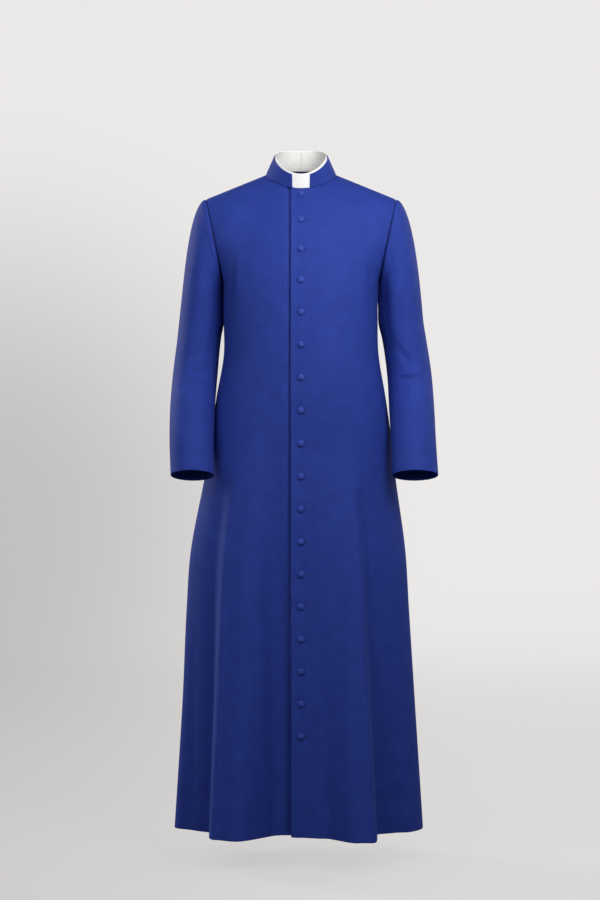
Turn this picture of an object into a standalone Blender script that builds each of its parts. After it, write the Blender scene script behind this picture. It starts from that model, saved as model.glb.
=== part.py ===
"""A single-breasted Roman cassock, worn and closed, as hollow cloth walls.

Metres, +Z up, the wearer faces -Y, and +X is the wearer's left. The origin is the middle of
the line between the two neck points, where the wearer's neck and shoulders hold the garment.
"""
import math

import bmesh
import bpy
from mathutils import Matrix, Vector

# Cloth: the wall is the worsted with its interlining, facing and hem
WALL = 0.0016
COLLAR_WALL = 0.0022
INSERT_WALL = 0.0012
GAP = 0.0003

# Heights, measured from the neck points
HEM_Z = -1.474
WAIST_Z = -0.405
UNDERARM_Z = -0.240
TIP_Z = -0.057

# Front closing: the left front laps over the right one by twice this
LAP = 0.022
LAP_GAP = 0.0005
LAP_SINK = WALL + LAP_GAP
LAP_RAMP = 0.016

# Shoulder tip, underarm and how far the armhole reaches in front of and behind them
TIP = Vector((0.213, 0.004, TIP_Z))
UNDERARM = Vector((0.174, 0.004, UNDERARM_Z))
ARMHOLE_FRONT = 0.066
ARMHOLE_BACK = 0.070

# Neckline and the top of the collar band: half width, front and back reach, heights
NECK = {"half": 0.079, "front": 0.048, "back": 0.071, "z": (-0.041, 0.0, 0.0175)}
BAND = {"half": 0.061, "front": 0.057, "back": 0.056, "z": (-0.0113, 0.037, 0.055)}
NOTCH = 0.020
INSERT_LOW = -0.04
INSERT_HIGH = 1.13
INSERT_ENDS = 0.001

# Buttons
BUTTON_COUNT = 18
BUTTON_RADIUS = 0.0075
BUTTON_RIM = 0.0016
BUTTON_HEIGHT = 0.0052
FIRST_BUTTON_Z = -0.0515
BUTTON_PITCH = 0.0712
BUTTON_STEPS = 12

# Horizontal rings of the body, with the folds taken out. "middle" is where the ring is widest,
# behind the side plane when positive, "square" is the exponent of its rounded shape, and
# "lean" is how far the ring hangs to the wearer's left.
LEVELS = (
    # name, z, half, front, back, middle, square, lean
    ("hem", -1.474, 0.2790, 0.103, 0.192, 0.025, 2.00, -0.001),
    ("shin", -1.180, 0.2610, 0.108, 0.176, 0.021, 2.00, -0.003),
    ("knee", -0.980, 0.2505, 0.113, 0.160, 0.017, 2.05, -0.006),
    ("thigh", -0.850, 0.2420, 0.117, 0.150, 0.014, 2.10, -0.006),
    ("hand", -0.675, 0.2140, 0.121, 0.138, 0.010, 2.15, -0.002),
    ("seat", -0.590, 0.2030, 0.123, 0.131, 0.008, 2.20, 0.000),
    ("hip", -0.504, 0.1905, 0.126, 0.119, 0.004, 2.20, 0.000),
    ("waist", -0.405, 0.1735, 0.129, 0.108, 0.002, 2.25, 0.000),
    ("ribs", -0.325, 0.1732, 0.132, 0.110, 0.002, 2.30, -0.001),
    ("underarm", -0.240, 0.1745, 0.134, 0.115, 0.004, 2.35, 0.000),
)

# Folds of the skirt: crests and hollows by their angle round from the centre front, positive
# on the wearer's left, with how far each stands out at the hem and the height where it dies.
FOLDS = (
    # name, angle, out, top
    ("back right crest", -160.0, 0.018, -0.62),
    ("back right hollow", -145.0, -0.012, -0.66),
    ("hip right crest", -129.0, 0.012, -0.70),
    ("hip right hollow", -110.0, -0.012, -0.75),
    ("side right crest", -89.0, 0.006, -0.70),
    ("side right hollow", -66.0, -0.018, -0.66),
    ("knee right foot", -50.0, -0.020, -0.62),
    ("knee right edge", -37.3, 0.053, -0.60),
    ("knee right crest", -28.0, 0.060, -0.60),
    ("lap right hollow", -11.5, -0.013, -0.60),
    ("centre front", 0.0, 0.0, -0.60),
    ("lap left rise", 10.5, 0.008, -0.60),
    ("knee left crest", 23.0, 0.079, -0.60),
    ("knee left edge", 29.4, 0.069, -0.60),
    ("knee left foot", 40.0, -0.013, -0.62),
    ("side left hollow", 50.0, -0.012, -0.66),
    ("side left rise", 62.0, 0.000, -0.70),
    ("side left crest", 89.0, -0.002, -0.70),
    ("hip left hollow", 111.0, -0.013, -0.75),
    ("hip left crest", 128.0, 0.011, -0.70),
    ("back left hollow", 144.0, -0.013, -0.66),
    ("back left crest", 159.0, 0.017, -0.62),
    ("centre back", 180.0, -0.006, -0.62),
)
FOLD_GROWTH = 1.15

# The yoke: columns of cloth rise from the chest row to the neckline and the shoulder seam as
# cubic curves. "along" leads forward round the ring and "up" rises from the chest row. The
# other three place the curve's upper handle: how far across, ahead of the seam line and high.
FRONT_YOKE = (
    # name, share, dip, along, up, across, ahead, high
    ("lap", 0.00, 0.050, 0.000, 0.098, 0.022, 0.100, -0.092),
    ("throat", 0.25, 0.050, 0.000, 0.102, 0.067, 0.086, -0.070),
    ("neck point", 0.45, 0.050, 0.008, 0.105, 0.096, 0.088, -0.054),
    ("shoulder", 0.72, 0.042, 0.046, 0.082, 0.155, 0.096, -0.048),
    ("armhole", 1.00, 0.000, 0.088, 0.000, 0.213, 0.084, TIP_Z),
)
BACK_YOKE = (
    ("centre", 0.00, 0.050, 0.000, 0.110, 0.000, 0.101, -0.046),
    ("nape", 0.25, 0.050, 0.000, 0.110, 0.056, 0.099, -0.035),
    ("neck point", 0.45, 0.050, 0.008, 0.110, 0.096, 0.100, -0.026),
    ("shoulder", 0.72, 0.042, 0.040, 0.088, 0.155, 0.102, -0.036),
    ("armhole", 1.00, 0.000, 0.0933, 0.000, 0.213, 0.0973, TIP_Z),
)
NECK_SHARE = 0.45
SNAP = 0.002

# Columns of the panels, as angles at the hem from the centre front or the centre back
FRONT_COLUMNS = (8, 11.5, 15, 19, 23, 26.5, 30, 34, 37.5, 43, 46, 50, 58, 66, 77, 90)
BACK_COLUMNS = (0, 7, 14, 21, 28, 35, 40.5, 51, 60, 70, 80, 90)
SKIRT_ROWS = 13
CHEST_ROWS = 5
YOKE_ROWS = 8

# Sleeves: rings down each arm, by their centre, half width across and half depth
SLEEVE_RINGS = {
    1: (
        # name, z, x, y, half, deep, tilt
        ("bicep", -0.287, 0.2232, 0.015, 0.0490, 0.072, 0.00),
        ("low bicep", -0.335, 0.2260, 0.018, 0.0510, 0.070, 0.00),
        ("above elbow", -0.368, 0.2326, 0.018, 0.0498, 0.069, 0.00),
        ("elbow", -0.450, 0.2440, 0.008, 0.0500, 0.065, 0.10),
        ("forearm", -0.532, 0.2475, -0.030, 0.0505, 0.059, 0.24),
        ("wrist", -0.599, 0.2495, -0.060, 0.0500, 0.052, 0.29),
        ("cuff", -0.677, 0.2520, -0.087, 0.0510, 0.045, 0.28),
    ),
    -1: (
        ("bicep", -0.287, 0.2222, 0.015, 0.0480, 0.072, 0.00),
        ("low bicep", -0.335, 0.2250, 0.018, 0.0506, 0.070, 0.00),
        ("above elbow", -0.368, 0.2297, 0.018, 0.0493, 0.069, 0.00),
        ("elbow", -0.450, 0.2382, 0.008, 0.0503, 0.065, 0.10),
        ("forearm", -0.532, 0.2425, -0.032, 0.0500, 0.058, 0.24),
        ("wrist", -0.599, 0.2425, -0.066, 0.0490, 0.051, 0.29),
        ("cuff", -0.677, 0.2395, -0.093, 0.0480, 0.045, 0.28),
    ),
}
# How the sleeve leaves the armhole and arrives at the bicep, by the angle round the arm from
# its outer side towards the front
SLEEVE_HEAD = (
    # name, angle, out, forward, down, arrive
    ("crown", 0.0, 0.110, 0.000, 0.020, 0.210),
    ("front", 90.0, 0.060, 0.005, 0.040, 0.160),
    ("underarm", 180.0, 0.006, 0.000, 0.045, 0.050),
    ("back", 270.0, 0.060, -0.005, 0.040, 0.160),
    ("crown again", 360.0, 0.110, 0.000, 0.020, 0.210),
)
FOREARM_SEAM = 136.0
HINDARM_SEAM = 238.0
TOP_SLEEVE_COLUMNS = 12
UNDER_SLEEVE_COLUMNS = 5
HEAD_ROWS = 6
ARM_ROWS = 10
ARMHOLE_STEP = 0.0004

# Small steps for measuring slopes: metres or radians, degrees, and shares of a row
STEP = 1e-4
ANGLE_STEP = 0.05
ROW_STEP = 0.004

COLOURS = {
    "worsted": ((0.030, 0.052, 0.300, 1.0), 0.72),
    "insert": ((0.860, 0.850, 0.840, 1.0), 0.45),
    "button": ((0.026, 0.045, 0.270, 1.0), 0.66),
}


def eased(share):
    """Slow start and slow end between 0 and 1."""
    share = min(1.0, max(0.0, share))
    return share * share * (3.0 - 2.0 * share)


def smooth_row(rows, key, place):
    """The columns after the key column, on a smooth curve through the rows."""
    last = len(rows) - 1
    rising = rows[last][key] > rows[0][key]
    i = 0
    while i < last - 1 and (place > rows[i + 1][key]) == rising and place != rows[i + 1][key]:
        i += 1
    low, high = rows[i], rows[i + 1]
    before, after = rows[max(i - 1, 0)], rows[min(i + 2, last)]
    span = high[key] - low[key]
    t = (place - low[key]) / span
    result = []
    for c in range(key + 1, len(low)):
        rise = (high[c] - low[c]) / span
        rise_before = rise if i == 0 else (low[c] - before[c]) / (low[key] - before[key])
        rise_after = rise if i == last - 1 else (after[c] - high[c]) / (after[key] - high[key])
        start = 0.5 * (rise + rise_before) * span
        end = 0.5 * (rise + rise_after) * span
        t2, t3 = t * t, t * t * t
        result.append((2 * t3 - 3 * t2 + 1) * low[c] + (t3 - 2 * t2 + t) * start
                      + (3 * t2 - 2 * t3) * high[c] + (t3 - t2) * end)
    return result


def eased_row(rows, key, place):
    """The columns after the key column, level at every row and eased between them."""
    i = 0
    while i < len(rows) - 2 and place > rows[i + 1][key]:
        i += 1
    low, high = rows[i], rows[i + 1]
    t = eased((place - low[key]) / (high[key] - low[key]))
    return [low[c] + (high[c] - low[c]) * t for c in range(key + 1, len(low))]


def level(z):
    return smooth_row(LEVELS, 1, min(max(z, LEVELS[0][1]), LEVELS[-1][1]))


def plain_ring(angle, z):
    """A point of the body's ring at z, without folds, angle in radians from the front."""
    half, front, back, middle, square, lean = level(z)
    across, ahead = math.sin(angle), math.cos(angle)
    reach = front + middle if ahead > 0 else back - middle
    x = lean + half * math.copysign(abs(across) ** (2 / square), across)
    y = middle - reach * math.copysign(abs(ahead) ** (2 / square), ahead)
    return Vector((x, y, z))


def fold_out(degrees, z):
    """How far the folds move the cloth outward there."""
    first, last = FOLDS[0], FOLDS[-1]
    ring = ((last[0], last[1] - 360.0) + last[2:],) + FOLDS + ((first[0], first[1] + 360.0) + first[2:],)
    out, top = eased_row(ring, 1, degrees)
    if z >= top:
        return 0.0
    return out * ((top - z) / (top - HEM_Z)) ** FOLD_GROWTH


def ring_point(degrees, z):
    """A point on the outside of the body below the yoke."""
    angle = math.radians(degrees)
    point = plain_ring(angle, z)
    run = plain_ring(angle + STEP, z) - plain_ring(angle - STEP, z)
    outward = Vector((-run.y, run.x, 0.0)).normalized()
    if outward.dot(point - Vector((0.0, level(z)[3], z))) < 0.0:
        outward = -outward
    return point + outward * fold_out(degrees, z)


def neck_loop(sizes, turn):
    """A point of the neckline or the collar's top, turn in radians from the front."""
    front_z, side_z, back_z = sizes["z"]
    ahead = math.cos(turn)
    middle = 0.5 * (sizes["back"] - sizes["front"])
    reach = 0.5 * (sizes["back"] + sizes["front"])
    tilt = 0.5 * (back_z - front_z)
    sag = side_z - 0.5 * (back_z + front_z)
    z = side_z - tilt * ahead - sag * ahead * ahead
    return Vector((sizes["half"] * math.sin(turn), middle - reach * ahead, z))


def cubic(p0, p1, p2, p3, t):
    s = 1.0 - t
    return p0 * s ** 3 + p1 * 3 * s * s * t + p2 * 3 * s * t * t + p3 * t ** 3


def lap_angle(x, z):
    """The angle on the ring where it is x from the middle."""
    half, _, _, _, square, lean = level(z)
    across = (x - lean) / half
    return math.degrees(math.asin(math.copysign(abs(across) ** (square / 2), across)))


def column_angle(column, z):
    """Degrees from the centre front or back of a column ('x', metres) or ('share', 0 to 1)."""
    kind, value, start = column
    if kind == "x":
        return lap_angle(value, z)
    edge = lap_angle(start, z) if start else 0.0
    return edge + (90.0 - edge) * value


def yoke_point(column, climb, side, is_front):
    """A point of the yoke, from the chest row (climb 0) to its top edge (climb 1)."""
    kind, value, _ = column
    share = 0.0 if kind == "x" else value
    rows = FRONT_YOKE if is_front else BACK_YOKE
    dip, along, up, across, ahead, high = smooth_row(rows, 1, share)
    z = UNDERARM_Z - dip
    degrees = column_angle(column, z)

    def on_ring(angle):
        signed = angle if is_front else 180.0 - angle
        return ring_point(signed * side, z)

    bottom = on_ring(degrees)
    if value >= 1.0 and kind == "share":
        bottom = Vector((UNDERARM.x * side, UNDERARM.y, UNDERARM.z))
    run = (on_ring(degrees - ANGLE_STEP) - on_ring(degrees + ANGLE_STEP)).normalized()
    if share <= NECK_SHARE:
        top = neck_loop(NECK, neck_turn(column, is_front))
    else:
        t = (share - NECK_SHARE) / (1.0 - NECK_SHARE)
        top = neck_loop(NECK, math.pi / 2).lerp(TIP, t)
    if kind == "x":
        across = value
    handle = Vector((across * side, -ahead if is_front else ahead, high))
    top.x *= side
    return cubic(bottom, bottom + run * along + Vector((0, 0, up)), handle, top, climb)


def body_point(column, row, side, is_front):
    """A point on the outside of the body. row: 0 hem, 1 waist, 2 chest row, 3 top edge."""
    if row >= 2.0:
        return yoke_point(column, row - 2.0, side, is_front)
    if row <= 1.0:
        z = HEM_Z + (WAIST_Z - HEM_Z) * row
    else:
        rows = FRONT_YOKE if is_front else BACK_YOKE
        share = 0.0 if column[0] == "x" else column[1]
        dip = smooth_row(rows, 1, share)[0]
        z = WAIST_Z + (UNDERARM_Z - dip - WAIST_Z) * (row - 1.0)
    degrees = column_angle(column, z)
    signed = degrees if is_front else 180.0 - degrees
    return ring_point(signed * side, z)


def nudge(column, amount):
    """The same column moved sideways by a little, for measuring slopes."""
    kind, value, start = column
    return (kind, value + (amount * LAP if kind == "x" else amount), start)


def body_normal(column, row, side, is_front):
    """Outward normal of the body. Seams take one that both their panels share."""
    kind, value, _ = column
    if row >= 3.0 and kind == "share" and value >= NECK_SHARE:
        seam = TIP - neck_loop(NECK, math.pi / 2)
        return Vector((-seam.z * side, 0.0, seam.x)).normalized()
    if kind == "share" and value >= 1.0 and row <= 2.0:
        z = body_point(column, row, side, is_front).z
        back, front = (90.0 + ANGLE_STEP) * side, (90.0 - ANGLE_STEP) * side
        round_body = ring_point(back, z) - ring_point(front, z)
        rise = ring_point(90.0 * side, z + STEP) - ring_point(90.0 * side, z - STEP)
        return (round_body.cross(rise) * side).normalized()
    above = body_point(column, min(3.0, row + ROW_STEP), side, is_front)
    rise = above - body_point(column, max(0.0, row - ROW_STEP), side, is_front)
    if kind == "share" and value <= 0.0:
        return Vector((0.0, rise.z, -rise.y)).normalized()
    low = nudge(column, -ROW_STEP)
    high = column if kind == "share" and value >= 1.0 else nudge(column, ROW_STEP)
    across = body_point(high, row, side, is_front) - body_point(low, row, side, is_front)
    turned = side if is_front else -side
    return (across.cross(rise) * turned).normalized()


def armhole(angle):
    """A point of the armhole, degrees from the shoulder tip towards the front, wearer's left."""
    turn = angle % 360.0
    reach = ARMHOLE_FRONT if turn <= 180.0 else -ARMHOLE_BACK
    t = turn / 180.0 if turn <= 180.0 else (360.0 - turn) / 180.0
    ahead = Vector((0.0, -reach * 4.0 / 3.0, 0.0))
    return cubic(TIP, TIP + ahead, UNDERARM + ahead, UNDERARM, t)


def armhole_outward():
    """Unit normal of the armhole's plane, away from the body, on the wearer's left."""
    seam = TIP - UNDERARM
    return Vector((seam.z, 0.0, -seam.x)).normalized()


def sleeve_ring(angle, z, side):
    """A point round the sleeve at a height, degrees from the outer side towards the front."""
    x, y, half, deep, tilt = smooth_row(SLEEVE_RINGS[side], 1, z)
    turn = math.radians(angle)
    ahead = deep * math.sin(turn)
    return Vector((x + half * math.cos(turn), y - ahead, z + tilt * ahead))


def sleeve_point(angle, row, side):
    """A point on the outside of the sleeve. row: 0 armhole, 1 bicep, 2 cuff."""
    rings = SLEEVE_RINGS[side]
    bicep_z, cuff_z = rings[0][1], rings[-1][1]
    if row >= 1.0:
        point = sleeve_ring(angle, bicep_z + (cuff_z - bicep_z) * (row - 1.0), side)
    else:
        out, forward, down, arrive = smooth_row(SLEEVE_HEAD, 1, angle % 360.0)
        start = armhole(angle) + armhole_outward() * ARMHOLE_STEP
        end = sleeve_ring(angle, bicep_z, side)
        slope = sleeve_ring(angle, bicep_z - STEP, side) - end
        leave = Vector((out, -forward, -down))
        point = cubic(start, start + leave / 3, end - slope.normalized() * arrive / 3, end, row)
    return Vector((point.x * side, point.y, point.z))


def sleeve_normal(angle, row, side):
    """Outward normal of the sleeve. At the armhole the wall's end lies in its plane."""
    if row <= 0.0:
        middle = 0.5 * (TIP + UNDERARM)
        radial = armhole(angle) - middle
        return Vector((radial.x * side, radial.y, radial.z)).normalized()
    before, after = angle - ANGLE_STEP, angle + ANGLE_STEP
    round_arm = sleeve_point(after, row, side) - sleeve_point(before, row, side)
    lower = sleeve_point(angle, min(2.0, row + ROW_STEP), side)
    down_arm = lower - sleeve_point(angle, row - ROW_STEP, side)
    return round_arm.cross(down_arm).normalized() * side


def collar_point(turn, height):
    """A point on the outside of the collar band, height 0 at the neckline and 1 at its top."""
    return neck_loop(NECK, turn).lerp(neck_loop(BAND, turn), height)


def collar_normal(turn):
    run = collar_point(turn + STEP, 0.5) - collar_point(turn - STEP, 0.5)
    rise = collar_point(turn, 1.0) - collar_point(turn, 0.0)
    normal = run.cross(rise).normalized()
    if normal.dot(Vector((math.sin(turn), -math.cos(turn), 0.0))) < 0:
        normal = -normal
    return normal


def lap_sink(x):
    """How far the under front lies below the top one, x from the middle towards its far edge."""
    return LAP_SINK * eased((x + LAP + LAP_RAMP) / LAP_RAMP)


def cloth_wall(name, grid, wall, trims):
    """A wall of cloth from a grid of (point, normal): its outside, and the same moved in.

    trims names the edges that meet a seam: 'first' and 'last' column, 'low' and 'high' row.
    """
    columns, rows = len(grid), len(grid[0])
    outer = [[point.copy() for point, _ in line] for line in grid]
    for j in range(rows):
        for edge, i, inner in (("first", 0, 1), ("last", columns - 1, columns - 2)):
            if edge in trims:
                step = grid[inner][j][0] - grid[i][j][0]
                outer[i][j] += step.normalized() * GAP / 2
    for i in range(columns):
        for edge, j, inner in (("low", 0, 1), ("high", rows - 1, rows - 2)):
            if edge in trims:
                step = grid[i][inner][0] - grid[i][j][0]
                outer[i][j] += step.normalized() * GAP / 2
    bm = bmesh.new()
    bmesh.ops.create_grid(bm, x_segments=columns - 1, y_segments=rows - 1, size=0.5)
    number = bm.verts.layers.int.new("grid")
    for vert in bm.verts:
        i = round((vert.co.x + 0.5) * (columns - 1))
        j = round((vert.co.y + 0.5) * (rows - 1))
        vert[number] = i * rows + j
    moved = bmesh.ops.extrude_face_region(bm, geom=bm.faces[:])["geom"]
    inside = {item for item in moved if isinstance(item, bmesh.types.BMVert)}
    for vert in bm.verts:
        i, j = divmod(vert[number], rows)
        vert.co = outer[i][j]
        if vert in inside:
            vert.co = outer[i][j] - grid[i][j][1] * wall
    bmesh.ops.recalc_face_normals(bm, faces=bm.faces[:])
    mesh = bpy.data.meshes.new(name)
    bm.to_mesh(mesh)
    bm.free()
    mesh.shade_smooth()
    mesh.set_sharp_from_angle(angle=math.radians(50))
    return mesh


def panel_share(angle, edge):
    """How far a column lies from the panel's edge to its side seam. One is on the neck point."""
    share = (angle - edge) / (90.0 - edge)
    return NECK_SHARE if abs(share - NECK_SHARE) < SNAP else share


def front_columns():
    """Columns of a front: those of the lap, from the middle's far side, and the rest."""
    edge = lap_angle(LAP, HEM_Z)
    lap = [("x", LAP * k / 2, LAP) for k in range(-2, 3)]
    rest = [("share", panel_share(angle, edge), LAP) for angle in FRONT_COLUMNS]
    return lap, rest


def back_columns():
    """Columns of a back from the centre-back seam to the side seam."""
    return [("share", panel_share(angle, 0.0), 0.0) for angle in BACK_COLUMNS]


def row_places():
    """Row places from the hem to the top edge."""
    rows = [k / SKIRT_ROWS for k in range(SKIRT_ROWS + 1)]
    rows += [1.0 + k / CHEST_ROWS for k in range(1, CHEST_ROWS + 1)]
    rows += [2.0 + k / YOKE_ROWS for k in range(1, YOKE_ROWS + 1)]
    return rows


def front_panel(name, side):
    """One front. The left one lies on top, and the right one sinks below it at the lap."""
    lap, rest = front_columns()
    lap = [(("x", value * side, start), 1) for _, value, start in lap]
    grid = []
    for column, half in lap + [(column, side) for column in rest]:
        line = []
        for row in row_places():
            point = body_point(column, row, half, True)
            normal = body_normal(column, row, half, True)
            if side < 0:
                point -= normal * lap_sink(point.x)
            line.append((point, normal))
        grid.append(line)
    return cloth_wall(name, grid, WALL, ("last", "high"))


def back_panel(name, side):
    """One back, from the centre-back seam to the side seam."""
    grid = []
    for column in back_columns():
        grid.append([(body_point(column, row, side, False), body_normal(column, row, side, False))
                     for row in row_places()])
    return cloth_wall(name, grid, WALL, ("first", "last", "high"))


def sleeve_panel(name, side, start, end, columns):
    """A sleeve piece between two seams, from the armhole to the cuff."""
    rows = [k / HEAD_ROWS for k in range(HEAD_ROWS + 1)]
    rows += [1.0 + k / ARM_ROWS for k in range(1, ARM_ROWS + 1)]
    grid = []
    for i in range(columns + 1):
        angle = start + (end - start) * i / columns
        grid.append([(sleeve_point(angle, row, side), sleeve_normal(angle, row, side))
                     for row in rows])
    return cloth_wall(name, grid, WALL, ("first", "last"))


def neck_turn(column, is_front):
    """Where a column meets the neckline, in radians from the centre front."""
    kind, value, start = column
    if kind == "x":
        return math.asin(value / NECK["half"])
    first = math.asin(start / NECK["half"]) if start else 0.0
    turn = first + (math.pi / 2 - first) * min(1.0, value / NECK_SHARE)
    return turn if is_front else math.pi - turn


def collar_turns():
    """Turns from the notch's edge to the centre back, at the columns of the neckline."""
    turns = [math.asin(NOTCH / NECK["half"])]
    turns += [neck_turn(column, True) for column in front_columns()[1] if column[1] <= NECK_SHARE]
    backs = [column for column in back_columns() if column[1] < NECK_SHARE]
    return turns + [neck_turn(column, False) for column in backs[::-1]]


def notch_turn(height):
    """Where the collar ends at a height, so that its two ends stand upright beside the notch."""
    half = NECK["half"] + (BAND["half"] - NECK["half"]) * height
    return math.asin(NOTCH / half)


def collar_band(name, turns, heights, sunk, wall):
    """A band round the neck, sunk by some depth inside the collar's face.

    turns holds, for each column, its turn at every height.
    """
    grid = []
    for column in turns:
        line = []
        for turn, height in zip(column, heights):
            normal = collar_normal(turn)
            line.append((collar_point(turn, height) - normal * sunk, normal))
        grid.append(line)
    return cloth_wall(name, grid, wall, ())


def button_mesh():
    """A domed button, turned about its own axis, flat side down."""
    bm = bmesh.new()
    dome_steps = 3
    profile = [Vector((0.0, 0.0, BUTTON_HEIGHT))]
    for k in range(1, dome_steps + 1):
        turn = math.pi / 2 * k / dome_steps
        rise = (BUTTON_HEIGHT - BUTTON_RIM) * math.cos(turn)
        profile.append(Vector((BUTTON_RADIUS * math.sin(turn), 0.0, BUTTON_RIM + rise)))
    profile.append(Vector((BUTTON_RADIUS - BUTTON_RIM / 2, 0.0, 0.0)))
    profile.append(Vector((0.0, 0.0, 0.0)))
    verts = [bm.verts.new(point) for point in profile]
    for low, high in zip(verts, verts[1:]):
        bm.edges.new((low, high))
    mesh = bpy.data.meshes.new("button")
    bm.to_mesh(mesh)
    bm.free()
    return mesh


def lap_lines():
    """The top front's outside near the centre line, as three columns of points."""
    columns = [("x", LAP * k / 2, LAP) for k in range(-1, 2)]
    return [[body_point(column, row, 1, True) for row in row_places()] for column in columns]


def lap_face(lines, x, z):
    """A point of the top front's outside near the centre line, on its flat facets."""
    hits = []
    for points in lines:
        for low, high in zip(points, points[1:]):
            if low.z <= z <= high.z:
                hits.append(low.lerp(high, (z - low.z) / (high.z - low.z)))
                break
    first = 0 if x < 0 else 1
    low, high = hits[first], hits[first + 1]
    return low.lerp(high, (x - low.x) / (high.x - low.x))


def lap_seat(lines, z):
    """Where a button's back lies on the centre line at z, just clear of the cloth, and its axis."""
    seat = lap_face(lines, 0.0, z)
    rim = [lap_face(lines, x, z) for x in (-BUTTON_RADIUS, BUTTON_RADIUS)]
    rim += [lap_face(lines, 0.0, z + rise) for rise in (-BUTTON_RADIUS, BUTTON_RADIUS)]
    axis = (rim[1] - rim[0]).cross(rim[3] - rim[2]).normalized()
    lift = max(0.0, max((point - seat).dot(axis) for point in rim))
    return seat + axis * (lift + GAP), axis


def button_places():
    """Seats down the centre line at an even pitch along the cloth."""
    lines = lap_lines()
    places = []
    z = FIRST_BUTTON_Z
    pieces = 40
    for _ in range(BUTTON_COUNT):
        places.append(lap_seat(lines, z))
        left = BUTTON_PITCH
        while left > 0:
            here = lap_face(lines, 0.0, z)
            z -= BUTTON_PITCH / pieces
            left -= (lap_face(lines, 0.0, z) - here).length
    return places


def make_material(name, finish):
    colour, roughness = COLOURS[finish]
    material = bpy.data.materials.new(name)
    material.use_nodes = True
    shader = material.node_tree.nodes["Principled BSDF"]
    shader.inputs["Base Color"].default_value = colour
    shader.inputs["Roughness"].default_value = roughness
    shader.inputs["Metallic"].default_value = 0.0
    material.diffuse_color = colour
    return material


def add_object(collection, name, mesh, finish):
    if not mesh.materials:
        mesh.materials.append(make_material(name, finish))
    piece = bpy.data.objects.new(name, mesh)
    collection.objects.link(piece)
    return piece


def add_buttons(collection):
    mesh = button_mesh()
    for number, (seat, normal) in enumerate(button_places(), start=1):
        piece = add_object(collection, f"button_{number:02d}", mesh, "button")
        turned = piece.modifiers.new("turned", "SCREW")
        turned.steps = BUTTON_STEPS
        turned.render_steps = BUTTON_STEPS
        turned.use_merge_vertices = True
        turned.merge_threshold = 0.00001
        turned.use_smooth_shade = True
        tilt = Vector((0.0, 0.0, 1.0)).rotation_difference(normal).to_matrix().to_4x4()
        piece.matrix_world = Matrix.Translation(seat) @ tilt


def main():
    for old in list(bpy.data.objects):
        bpy.data.objects.remove(old, do_unlink=True)
    collection = bpy.data.collections.new("cassock")
    bpy.context.scene.collection.children.link(collection)

    for word, side in (("left", 1), ("right", -1)):
        front = f"front_{word}"
        add_object(collection, front, front_panel(front, side), "worsted")
        back = f"back_{word}"
        add_object(collection, back, back_panel(back, side), "worsted")
        top = f"top_sleeve_{word}"
        mesh = sleeve_panel(top, side, HINDARM_SEAM - 360.0, FOREARM_SEAM, TOP_SLEEVE_COLUMNS)
        add_object(collection, top, mesh, "worsted")
        under = f"under_sleeve_{word}"
        mesh = sleeve_panel(under, side, FOREARM_SEAM, HINDARM_SEAM, UNDER_SLEEVE_COLUMNS)
        add_object(collection, under, mesh, "worsted")

    turns = collar_turns()
    first_rise = GAP / (neck_loop(BAND, 0.0) - neck_loop(NECK, 0.0)).length
    heights = (first_rise, 0.5, 1.0)
    ends = [notch_turn(height) for height in heights]
    around = turns[1:] + [2 * math.pi - turn for turn in turns[-2:0:-1]]
    columns = [ends] + [[turn] * len(heights) for turn in around]
    columns.append([2 * math.pi - turn for turn in ends])
    mesh = collar_band("collar", columns, heights, 0.0, COLLAR_WALL)
    add_object(collection, "collar", mesh, "worsted")
    turns[-1] -= INSERT_ENDS / BAND["half"]
    around = [-turn for turn in turns[::-1]] + [-turns[0] / 2, 0.0, turns[0] / 2] + turns
    heights = (INSERT_LOW, 0.5, 1.0, INSERT_HIGH)
    mesh = collar_band("collar_insert", [[turn] * len(heights) for turn in around], heights,
                       COLLAR_WALL + GAP, INSERT_WALL)
    add_object(collection, "collar_insert", mesh, "insert")
    add_buttons(collection)


main()
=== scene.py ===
import functools
import math

import bmesh
import bpy
import numpy as np
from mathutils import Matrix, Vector
from mathutils.bvhtree import BVHTree


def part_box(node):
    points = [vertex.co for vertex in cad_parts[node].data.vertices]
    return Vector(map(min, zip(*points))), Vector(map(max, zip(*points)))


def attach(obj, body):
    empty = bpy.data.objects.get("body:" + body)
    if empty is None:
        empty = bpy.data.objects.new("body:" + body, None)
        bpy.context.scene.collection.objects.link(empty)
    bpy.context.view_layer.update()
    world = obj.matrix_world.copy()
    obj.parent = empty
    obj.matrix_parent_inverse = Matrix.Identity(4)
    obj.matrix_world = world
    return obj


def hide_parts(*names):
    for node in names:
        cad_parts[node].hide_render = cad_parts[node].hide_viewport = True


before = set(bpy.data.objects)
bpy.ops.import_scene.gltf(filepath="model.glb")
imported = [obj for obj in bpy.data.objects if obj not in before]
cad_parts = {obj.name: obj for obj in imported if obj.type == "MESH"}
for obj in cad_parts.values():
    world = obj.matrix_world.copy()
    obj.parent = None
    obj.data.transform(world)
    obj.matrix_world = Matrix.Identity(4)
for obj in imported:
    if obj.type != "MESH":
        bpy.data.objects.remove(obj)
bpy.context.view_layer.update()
print("frame loaded")

smallTurn = 1e-4     # radians or metres, for measuring slopes
smallAngle = 0.05    # degrees, for measuring slopes


def eased(share):
    share = min(1.0, max(0.0, share))
    return share * share * (3.0 - 2.0 * share)


def bell(share):
    # 1 in the middle, 0 at -1 and at 1, level at all three
    return (1.0 - share * share) ** 2 if abs(share) < 1.0 else 0.0


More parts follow.
